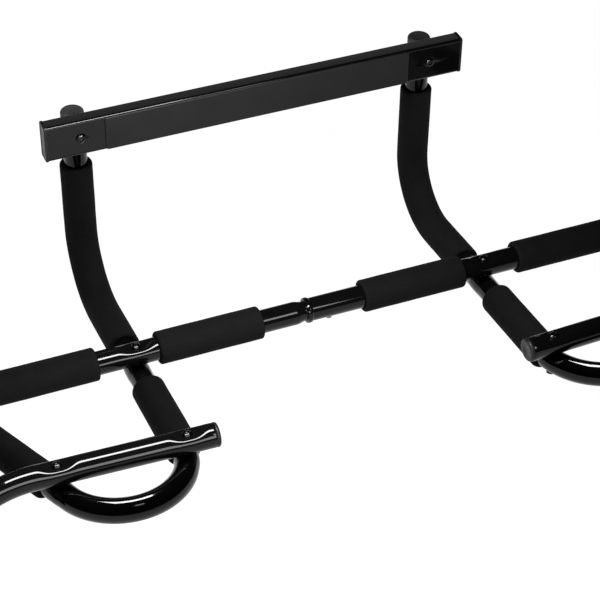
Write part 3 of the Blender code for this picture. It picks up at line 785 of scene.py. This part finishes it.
def make_rail_plug(side, label):
    """A plug with a flange that stands a little proud of the rail, with a rounded rim round its end face."""
    name = f"rail_end_plug_{label}"
    low, high = box_of(name)
    depth = high.y - low.y
    height = high.z - low.z
    end = high.x if side > 0 else -low.x
    stem_inset = 2 * (TUBE_WALL + GAP) + depth - (RAIL_HIGH.y - RAIL_LOW.y)
    flange_start = RAIL_HIGH.x + GAP / 2
    stops = [(RAIL_HIGH.x - RAIL_PLUG_STEM, stem_inset), (flange_start, stem_inset), (flange_start, 0.0)]
    for along, radius in arc(end - RAIL_PLUG_EDGE, 0, RAIL_PLUG_EDGE, 0, 90, 6):
        stops.append((along, 2 * (RAIL_PLUG_EDGE - radius)))
    rim = 2 * RAIL_PLUG_EDGE + RAIL_PLUG_RIM
    stops += [(end, rim), (end - RAIL_PLUG_SINK, rim + 3 * RAIL_PLUG_SINK)]
    sharpest = 0.0008
    rings = []
    for x, inset in stops:
        corner = max(sharpest, RAIL_CORNER - inset / 2)
        rings.append(rail_ring(side * x, rounded_outline(depth - inset, height - inset, corner)))
    solid_piece(name, rings, "plug")


def make_pad():
    """A thin rubber pad with softly rounded edges, let down onto the rail's front face."""
    middle = (PAD_LOW + PAD_HIGH) / 2
    width = PAD_HIGH.x - PAD_LOW.x
    height = PAD_HIGH.z - PAD_LOW.z
    profile = [(PAD_HIGH.y + GAP * 0.8, 0.0)]
    for along, radius in arc(0, 0, PAD_EDGE, 0, 90, 6):
        profile.append((PAD_LOW.y + PAD_EDGE - along, PAD_EDGE - radius))
    rings = []
    for y, inset in profile:
        outline = rounded_outline(width - 2 * inset, height - 2 * inset, PAD_CORNER - inset)
        rings.append([Vector((middle.x + across, y, middle.z + up)) for across, up in outline])
    piece = solid_piece("rail_pad", rings, "pad")
    return piece


# ---------------- bolts and nuts


def button_head_profile():
    """A bolt head from its underside to its crown: a low skirt, then a dome that ends in a flat."""
    skirt = 0.12
    flat = 0.18
    dome_turn = math.radians(62)
    steps = 10
    profile = [(0.0, BOLT_HEAD_RADIUS * 0.97), (-BOLT_HEAD_HEIGHT * skirt, BOLT_HEAD_RADIUS)]
    for i in range(1, steps + 1):
        turn = dome_turn * i / steps
        rise = skirt + (1 - skirt) * math.sin(turn) / math.sin(dome_turn)
        profile.append((-BOLT_HEAD_HEIGHT * rise, BOLT_HEAD_RADIUS * (flat + (1 - flat) * math.cos(turn))))
    return profile


def thread_ring(centre, axis, along, fade):
    """A ring across the thread, whose groove goes round once for each pitch. The fade runs it out."""

    def radius_at(angle):
        turn = (along / THREAD_PITCH + angle / (2 * math.pi)) % 1
        return BOLT_RADIUS - THREAD_DEPTH * fade * abs(2 * turn - 1)

    return turned_ring(centre, axis, radius_at)


def make_bolt(name, seat, axis, grip_length):
    """A button-head bolt with a hexagon socket, and a thread where it comes out of its nut."""
    end = grip_length + NUT_HEIGHT + BOLT_PAST_NUT
    thread_start = end - THREAD_LENGTH
    rings = turned_rings(seat, axis, [(end, BOLT_END_RADIUS)])
    for stop in reversed(steps_between(thread_start, end - BOLT_END_CHAMFER, THREAD_PITCH / 8)):
        fade = min(1.0, (stop - thread_start) / THREAD_PITCH)
        rings.append(thread_ring(seat + axis * stop, axis, stop, fade))
    rings += turned_rings(seat, axis, [(0.0, BOLT_RADIUS)] + button_head_profile())
    socket = [
        (0.0, hexagon(SOCKET_RADIUS * 1.06)),
        (SOCKET_LEAD, hexagon(SOCKET_RADIUS)),
        (SOCKET_DEPTH, hexagon(SOCKET_RADIUS)),
        (SOCKET_DEPTH + SOCKET_POINT, SOCKET_RADIUS * 0.3),
    ]
    rings += turned_rings(seat - axis * BOLT_HEAD_HEIGHT, axis, socket)
    solid_piece(name, rings, "bolt")


def make_nut(name, seat, axis):
    """A hexagon nut with both faces chamfered, so that its corners are cut by a shallow cone."""
    washer_face = NUT_RADIUS * math.cos(math.pi / 6) * 0.98
    cone = NUT_RADIUS - washer_face
    steps = 4
    chamfered = []
    for i in range(steps + 1):
        widening = cone * i / steps
        chamfered.append((widening * 0.6, hexagon(NUT_RADIUS, washer_face + widening)))
    outer = chamfered + [(NUT_HEIGHT - along, shape) for along, shape in reversed(chamfered)]
    bore = BOLT_RADIUS + GAP / 3
    mouth = bore + NUT_BORE_CHAMFER
    inner = [(0, mouth), (NUT_BORE_CHAMFER, bore), (NUT_HEIGHT - NUT_BORE_CHAMFER, bore), (NUT_HEIGHT, mouth)]
    hollow_piece(name, turned_rings(seat, axis, outer), turned_rings(seat, axis, inner), "bolt")


def make_bolted_joint(name, seat, axis, grip_length):
    """A bolt from its head's seat along the axis, and its nut at the far end of the grip."""
    make_bolt(name + "_bolt", seat - axis * GAP / 2, axis, grip_length + GAP)
    make_nut(name + "_nut", seat + axis * (grip_length + GAP / 2), axis)


def make_fasteners(front_seats):
    """A bolt and a nut through each crossing of bar and leg, and through each end of the rail."""
    top = TUBE_RADIUS - HEAD_DENT_DEPTH
    crossing_grip = top + STACK + TUBE_RADIUS - NUT_DENT_DEPTH
    outer_x, _ = outer_leg_point(outer_leg_at_main_bar())
    for side, label in SIDE_LABELS:
        inner_seat, outer_seat = front_seats[label]
        seats = {
            "main_bar_inner": BAR + OUTWARD * (side * ARM_X),
            "main_bar_outer": BAR + OUTWARD * (side * outer_x),
            "front_bar_inner": inner_seat,
            "front_bar_outer": outer_seat,
        }
        for name, seat in seats.items():
            make_bolted_joint(f"{name}_{label}", seat + UP * top, -UP, crossing_grip)
        rail_seat = Vector((side * ARM_X, RAIL_LOW.y + RAIL_DISH_DEPTH, RAIL_MIDDLE.z))
        rail_grip = ARM_Y + TUBE_RADIUS - SEAT_DENT_DEPTH - rail_seat.y
        make_bolted_joint(f"rail_{label}", rail_seat, -TOWARDS_USER, rail_grip)


# ---------------- the snap button


def make_snap_button():
    """A domed steel button. Its flange stays inside the neck."""
    dome_start = TUBE_RADIUS + BUTTON_PROUD - BUTTON_DOME
    profile = [
        (FLANGE_START, FLANGE_RADIUS - 0.0004),
        (FLANGE_END - 0.0003, FLANGE_RADIUS),
        (FLANGE_END, FLANGE_RADIUS - 0.0002),
        (FLANGE_END, BUTTON_RADIUS),
        (dome_start, BUTTON_RADIUS),
    ]
    steps = 8
    for i in range(1, steps + 1):
        angle = math.radians(84 * i / steps)
        profile.append((dome_start + BUTTON_DOME * math.sin(angle), BUTTON_RADIUS * math.cos(angle)))
    start = BAR + OUTWARD * BUTTON_X
    solid_piece("snap_button", turned_rings(start, -UP, profile), "steel", "button")


def make_button_spring():
    """A leaf folded into a V, at rest, between the button's flange and the top of the bore."""
    low, high = box_of("snap_button_spring")
    upper = INSERT_RADIUS - TUBE_WALL - SPRING_HEADROOM - SPRING_THICKNESS / 2
    lower = SPRING_GAP - FLANGE_START + SPRING_THICKNESS / 2
    middle = (upper + lower) / 2
    fold_radius = (upper - lower) / 4
    fold_x = low.x + fold_radius + SPRING_THICKNESS
    steps = 16
    outline = [(high.x, lower), (high.x - SPRING_WIDTH, lower)]
    for i in range(steps + 1):
        angle = -math.pi / 2 - math.pi * i / steps
        outline.append((fold_x + fold_radius * math.cos(angle), middle + fold_radius * math.sin(angle)))
    outline += [(high.x - SPRING_WIDTH, upper), (high.x, upper)]
    rings = []
    for i, (x, lift) in enumerate(outline):
        ahead = Vector(outline[min(i + 1, len(outline) - 1)])
        behind = Vector(outline[max(i - 1, 0)])
        run = (ahead - behind).normalized()
        normal = Vector((-run.y, run.x)) * (SPRING_THICKNESS / 2)
        corners = []
        for offset, edge in ((normal, 1), (normal, -1), (-normal, -1), (-normal, 1)):
            spot = Vector((x, lift)) + offset
            corners.append(BAR + OUTWARD * spot.x + UP * spot.y + FORWARD * (edge * SPRING_WIDTH / 2))
        rings.append(corners)
    piece = solid_piece("snap_button_spring", rings, "steel")
    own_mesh(piece)


# ---------------- materials


def new_material(name, colour, roughness, specular=0.5, metallic=0.0):
    """A Principled material, with its node tree, its shader and the place on the object that patterns use."""
    material = bpy.data.materials.new(name)
    material.use_nodes = True
    tree = material.node_tree
    shader = tree.nodes["Principled BSDF"]
    shader.inputs["Base Color"].default_value = (*colour, 1.0)
    shader.inputs["Roughness"].default_value = roughness
    shader.inputs["Specular IOR Level"].default_value = specular
    shader.inputs["Metallic"].default_value = metallic
    where = tree.nodes.new("ShaderNodeTexCoord").outputs["Object"]
    return material, tree, shader, where


def add_noise(tree, where, scale, detail, roughness=0.5):
    """A noise pattern. The scale is in cells per metre."""
    node = tree.nodes.new("ShaderNodeTexNoise")
    node.inputs["Scale"].default_value = scale
    node.inputs["Detail"].default_value = detail
    node.inputs["Roughness"].default_value = roughness
    tree.links.new(where, node.inputs["Vector"])
    return node.outputs["Fac"]


def add_cells(tree, where, scale):
    """A pattern of packed round cells. The scale is in cells per metre."""
    node = tree.nodes.new("ShaderNodeTexVoronoi")
    node.inputs["Scale"].default_value = scale
    tree.links.new(where, node.inputs["Vector"])
    return node.outputs["Distance"]


def add_range(tree, value, span_in, span_out):
    """Maps one span of a value, (low, high), to another."""
    node = tree.nodes.new("ShaderNodeMapRange")
    for socket, number in zip(("From Min", "From Max", "To Min", "To Max"), span_in + span_out):
        node.inputs[socket].default_value = number
    tree.links.new(value, node.inputs["Value"])
    return node.outputs["Result"]


def add_colours(tree, value, dark, light):
    """Goes from the dark colour to the light one as the value rises from 0 to 1."""
    node = tree.nodes.new("ShaderNodeMix")
    node.data_type = "RGBA"
    node.inputs["A"].default_value = (*dark, 1.0)
    node.inputs["B"].default_value = (*light, 1.0)
    tree.links.new(value, node.inputs["Factor"])
    return node.outputs["Result"]


def add_bump(tree, height, distance, below=None):
    """Raises the surface by up to the distance. A second bump can lie under it."""
    node = tree.nodes.new("ShaderNodeBump")
    node.inputs["Distance"].default_value = distance
    tree.links.new(height, node.inputs["Height"])
    if below:
        tree.links.new(below, node.inputs["Normal"])
    return node.outputs["Normal"]


def link_patterns(tree, shader, colour, roughness, normal):
    """Lets colour, roughness and fine relief vary over the surface."""
    tree.links.new(colour, shader.inputs["Base Color"])
    tree.links.new(roughness, shader.inputs["Roughness"])
    tree.links.new(normal, shader.inputs["Normal"])


def paint_material():
    """Gloss black enamel on steel tube: faint orange peel, fine dust and a few dull rub marks."""
    material, tree, shader, where = new_material("gloss_black_paint", (0.0012, 0.0012, 0.0012), 0.07)
    peel = add_noise(tree, where, 320, 2)
    dust = add_noise(tree, where, 2600, 2)
    marks = add_noise(tree, where, 34, 5, 0.62)
    colour = add_colours(tree, marks, (0.0008, 0.0008, 0.0009), (0.0018, 0.0018, 0.0019))
    roughness = add_range(tree, marks, (0.45, 0.75), (0.060, 0.11))
    normal = add_bump(tree, dust, 0.0000006, add_bump(tree, peel, 0.000003))
    link_patterns(tree, shader, colour, roughness, normal)
    shader.inputs["IOR"].default_value = 1.31
    return material


def foam_material():
    """Closed-cell foam rubber: near black and matt, with a fine open grain and a slight bloom."""
    material, tree, shader, where = new_material("black_foam", (0.005, 0.005, 0.005), 0.85, 0.04)
    cells = add_cells(tree, where, 1500)
    crumbs = add_noise(tree, where, 4200, 3, 0.6)
    bloom = add_noise(tree, where, 60, 4, 0.6)
    colour = add_colours(tree, bloom, (0.0040, 0.0040, 0.0040), (0.0065, 0.0065, 0.0065))
    roughness = add_range(tree, crumbs, (0.3, 0.7), (0.72, 0.95))
    normal = add_bump(tree, crumbs, 0.00006, add_bump(tree, cells, 0.00009))
    link_patterns(tree, shader, colour, roughness, normal)
    return material


def pad_material():
    """Satin rubber sheet with a leather-like moulded grain."""
    material, tree, shader, where = new_material("black_rubber", (0.006, 0.006, 0.006), 0.5, 0.14)
    grain = add_noise(tree, where, 1800, 4, 0.6)
    mottle = add_noise(tree, where, 45, 3)
    colour = add_colours(tree, mottle, (0.0050, 0.0050, 0.0050), (0.0075, 0.0075, 0.0075))
    roughness = add_range(tree, mottle, (0.35, 0.7), (0.46, 0.52))
    link_patterns(tree, shader, colour, roughness, add_bump(tree, grain, 0.00002))
    return material


def plastic_material():
    """Moulded polythene with a fine spark-eroded grain."""
    material, tree, shader, where = new_material("dark_grey_plastic", (0.020, 0.020, 0.021), 0.45, 0.10)
    grain = add_noise(tree, where, 3000, 2)
    flow = add_noise(tree, where, 120, 3)
    colour = add_colours(tree, flow, (0.0150, 0.0150, 0.0155), (0.0230, 0.0230, 0.0238))
    roughness = add_range(tree, flow, (0.3, 0.7), (0.40, 0.55))
    link_patterns(tree, shader, colour, roughness, add_bump(tree, grain, 0.000012))
    return material


def plug_material():
    """The darker plastic of the plugs in the tubes' ends."""
    material, tree, shader, where = new_material("black_plastic", (0.004, 0.004, 0.004), 0.4, 0.18)
    grain = add_noise(tree, where, 2400, 2)
    flow = add_noise(tree, where, 150, 3)
    colour = add_colours(tree, flow, (0.0034, 0.0034, 0.0035), (0.0058, 0.0058, 0.0060))
    roughness = add_range(tree, flow, (0.3, 0.7), (0.34, 0.48))
    link_patterns(tree, shader, colour, roughness, add_bump(tree, grain, 0.000008))
    return material


def steel_material(name, dark, light):
    """Plated or blackened steel between two greys, a little uneven in its finish."""
    material, tree, shader, where = new_material(name, (light,) * 3, 0.26, metallic=1.0)
    grain = add_noise(tree, where, 1400, 3)
    stain = add_noise(tree, where, 260, 4, 0.6)
    colour = add_colours(tree, stain, (dark,) * 3, (light,) * 3)
    roughness = add_range(tree, grain, (0.3, 0.7), (0.18, 0.30))
    link_patterns(tree, shader, colour, roughness, add_bump(tree, grain, 0.000006))
    return material


# Each look's material, and the slot in the record whose finish it has.
LOOKS = {
    "paint": (paint_material(), "gloss_black_paint"),
    "foam": (foam_material(), "black_foam"),
    "pad": (pad_material(), "black_rubber"),
    "plastic": (plastic_material(), "dark_grey_plastic"),
    "plug": (plug_material(), "dark_grey_plastic"),
    "bolt": (steel_material("black_steel", 0.020, 0.034), "dark_steel"),
    "steel": (steel_material("dark_steel", 0.07, 0.14), "dark_steel"),
}


# ---------------- stage, lights and camera


def glowing_material(name, strength, reflected):
    """A matt white surface with a glow of its own, which also reflects a share of the light."""
    material = bpy.data.materials.new(name)
    material.use_nodes = True
    shader = material.node_tree.nodes["Principled BSDF"]
    shader.inputs["Base Color"].default_value = (reflected, reflected, reflected, 1.0)
    shader.inputs["Roughness"].default_value = 0.9
    shader.inputs["Specular IOR Level"].default_value = 0.0
    shader.inputs["Emission Color"].default_value = (1.0, 1.0, 1.0, 1.0)
    shader.inputs["Emission Strength"].default_value = strength
    return material


def make_floor():
    """A wide white floor that glows as an over-lit studio sweep does."""
    below = 0.0005
    mesh = bmesh.new()
    bmesh.ops.create_grid(mesh, x_segments=1, y_segments=1, size=30)
    floor = object_from("floor", mesh)
    floor.data.materials.append(glowing_material("pale_floor", 0.99, 0.05))
    floor.location.z = CAD_LOW[2] - below


def make_backdrop():
    """A pale dome for the camera alone, so that the gloss reflects the studio's dark sides."""
    mesh = bmesh.new()
    bmesh.ops.create_uvsphere(mesh, u_segments=48, v_segments=24, radius=25)
    dome = object_from("backdrop", mesh)
    dome.data.materials.append(glowing_material("pale_backdrop", 1.0, 0.0))
    for ray in ("diffuse", "glossy", "transmission", "volume_scatter", "shadow"):
        setattr(dome, f"visible_{ray}", False)


def make_reflection_card():
    """A dim card on the floor, seen only in gloss. The rail's bare right end mirrors it, and stays dark."""
    left, right = 0.300, 0.425
    front, back = -0.185, -0.095
    lift = 0.0004
    mesh = bmesh.new()
    corners = [(left, front), (right, front), (right, back), (left, back)]
    mesh.faces.new([mesh.verts.new((x, y, lift)) for x, y in corners])
    card = object_from("reflection_card", mesh)
    card.data.materials.append(glowing_material("dim_card", 0.16, 0.0))
    for ray in ("camera", "diffuse", "shadow"):
        setattr(card, f"visible_{ray}", False)


def add_softbox(name, position, target, size, radiance):
    """A light of that width and depth. Its power follows from how bright it is in a reflection."""
    width, depth = size
    data = bpy.data.lights.new(name, "AREA")
    data.shape = "RECTANGLE"
    data.size = width
    data.size_y = depth
    data.energy = radiance * width * depth * math.pi
    light = bpy.data.objects.new(name, data)
    light.location = position
    light.rotation_euler = (target - Vector(position)).to_track_quat("-Z", "Y").to_euler()
    light.visible_camera = False
    bpy.context.scene.collection.objects.link(light)
    return light


def add_hanging_softbox(name, x, y, size, radiance):
    """A softbox that hangs over the object and shines straight down."""
    height = 0.56
    return add_softbox(name, (x, y, height), Vector((x, y, 0)), size, radiance)


def flag_light(light, pieces, state):
    """Lets a light fall on these pieces only ("INCLUDE"), or on all but them ("EXCLUDE")."""
    receivers = bpy.data.collections.new(f"{light.name}_receivers")
    for piece in pieces:
        receivers.objects.link(piece)
    for item in receivers.collection_objects:
        item.light_linking.link_state = state
    light.light_linking.receiver_collection = receivers


def light_bars(pad, arm_tubes, arm_grips, bar_grips):
    """One softbox above, one low in front and one high in front draw a streak each along the bars."""
    overhead = add_hanging_softbox("overhead", -0.25, -0.15, (0.58, 0.13), 57)
    flag_light(overhead, arm_tubes + arm_grips + bar_grips, "EXCLUDE")
    front = add_softbox("front_strip", (-0.32, -0.43, 0.20), Vector((-0.32, 0, 0.06)), (0.60, 0.11), 10)
    flag_light(front, [pad] + arm_tubes + arm_grips, "EXCLUDE")
    middle = add_softbox("middle_strip", (0.36, -1.0, 0.96), BAR, (0.20, 0.36), 12)
    flag_light(middle, arm_tubes, "EXCLUDE")


def light_rail(rail):
    """A large faint card behind the object, for the gloss on top of the rail alone."""
    card = add_softbox("back_card", (0.40, 1.20, 1.10), RAIL_MIDDLE, (1.6, 0.7), 0.42)
    flag_light(card, [rail], "INCLUDE")


def light_foam(arm_grips, bar_grips):
    """The foam's own lights: one above the arms, one above the bars, and a low one behind for both."""
    above_arms = add_hanging_softbox("arm_fill", 0.02, -0.02, (0.95, 0.20), 10)
    flag_light(above_arms, arm_grips, "INCLUDE")
    above_bars = add_softbox("bar_fill", (-0.08, -0.08, 0.42), Vector((-0.08, -0.04, 0)), (0.44, 0.12), 19)
    flag_light(above_bars, bar_grips, "INCLUDE")
    behind = add_softbox("rear_fill", (-0.30, 1.30, 0.35), BAR, (1.4, 0.5), 3.0)
    flag_light(behind, arm_grips + bar_grips, "INCLUDE")


def light_loops(arm_tubes):
    """Square softboxes above the loops. Each falls on its own arm's tube only."""
    left, right = arm_tubes
    for name, tube, x, y, size, radiance in (
        ("loop_left", left, -0.19, 0.10, 0.19, 57),
        ("loop_left_fill", left, -0.19, -0.39, 0.09, 8),
        ("loop_right", right, 0.35, 0.06, 0.20, 57),
    ):
        light = add_hanging_softbox(name, x, y, (size, size), radiance)
        flag_light(light, [tube], "INCLUDE")


def make_surroundings():
    """A studio that is nearly dark all round."""
    world = bpy.context.scene.world or bpy.data.worlds.new("studio")
    bpy.context.scene.world = world
    world.use_nodes = True
    background = world.node_tree.nodes["Background"]
    background.inputs["Color"].default_value = (1, 1, 1, 1)
    background.inputs["Strength"].default_value = 0.015


def make_camera():
    """A long lens, above and to the left of the front. The shift frames the object off centre."""
    data = bpy.data.cameras.new("camera")
    data.lens = 114.7
    data.sensor_width = 36
    data.shift_x = 0.058
    data.shift_y = -0.025
    camera = bpy.data.objects.new("camera", data)
    camera.location = BAR + Vector((-0.6221, -1.4279, 1.2874))
    tilt = math.radians(51.1)
    turn = math.radians(-21.61)
    camera.rotation_euler = (tilt, 0, turn)
    bpy.context.scene.collection.objects.link(camera)
    bpy.context.scene.camera = camera
    bpy.context.scene.view_settings.view_transform = "Standard"


# ---------------- the scene


def make_object():
    """Makes every piece. Returns those that some lights treat apart."""
    rail = make_rail()
    pad = make_pad()
    arm_tubes = []
    arm_grips = []
    bar_grips = []
    front_seats = {}
    for side, label in SIDE_LABELS:
        tube, grips = make_arm(side, label)
        arm_tubes.append(tube)
        arm_grips += grips
        bar_grips += make_main_bar_half(side, label)
        grip, front_seats[label] = make_front_bar(side, label)
        bar_grips.append(grip)
        make_arm_cap(side, label)
        make_end_cap(side, label)
        make_rail_plug(side, label)
    make_fasteners(front_seats)
    make_snap_button()
    make_button_spring()
    return rail, pad, arm_tubes, arm_grips, bar_grips


def make_studio(rail, pad, arm_tubes, arm_grips, bar_grips):
    """Floor, backdrop, lights and camera."""
    make_floor()
    make_backdrop()
    make_reflection_card()
    light_bars(pad, arm_tubes, arm_grips, bar_grips)
    light_rail(rail)
    light_foam(arm_grips, bar_grips)
    light_loops(arm_tubes)
    make_surroundings()
    make_camera()


make_studio(*make_object())
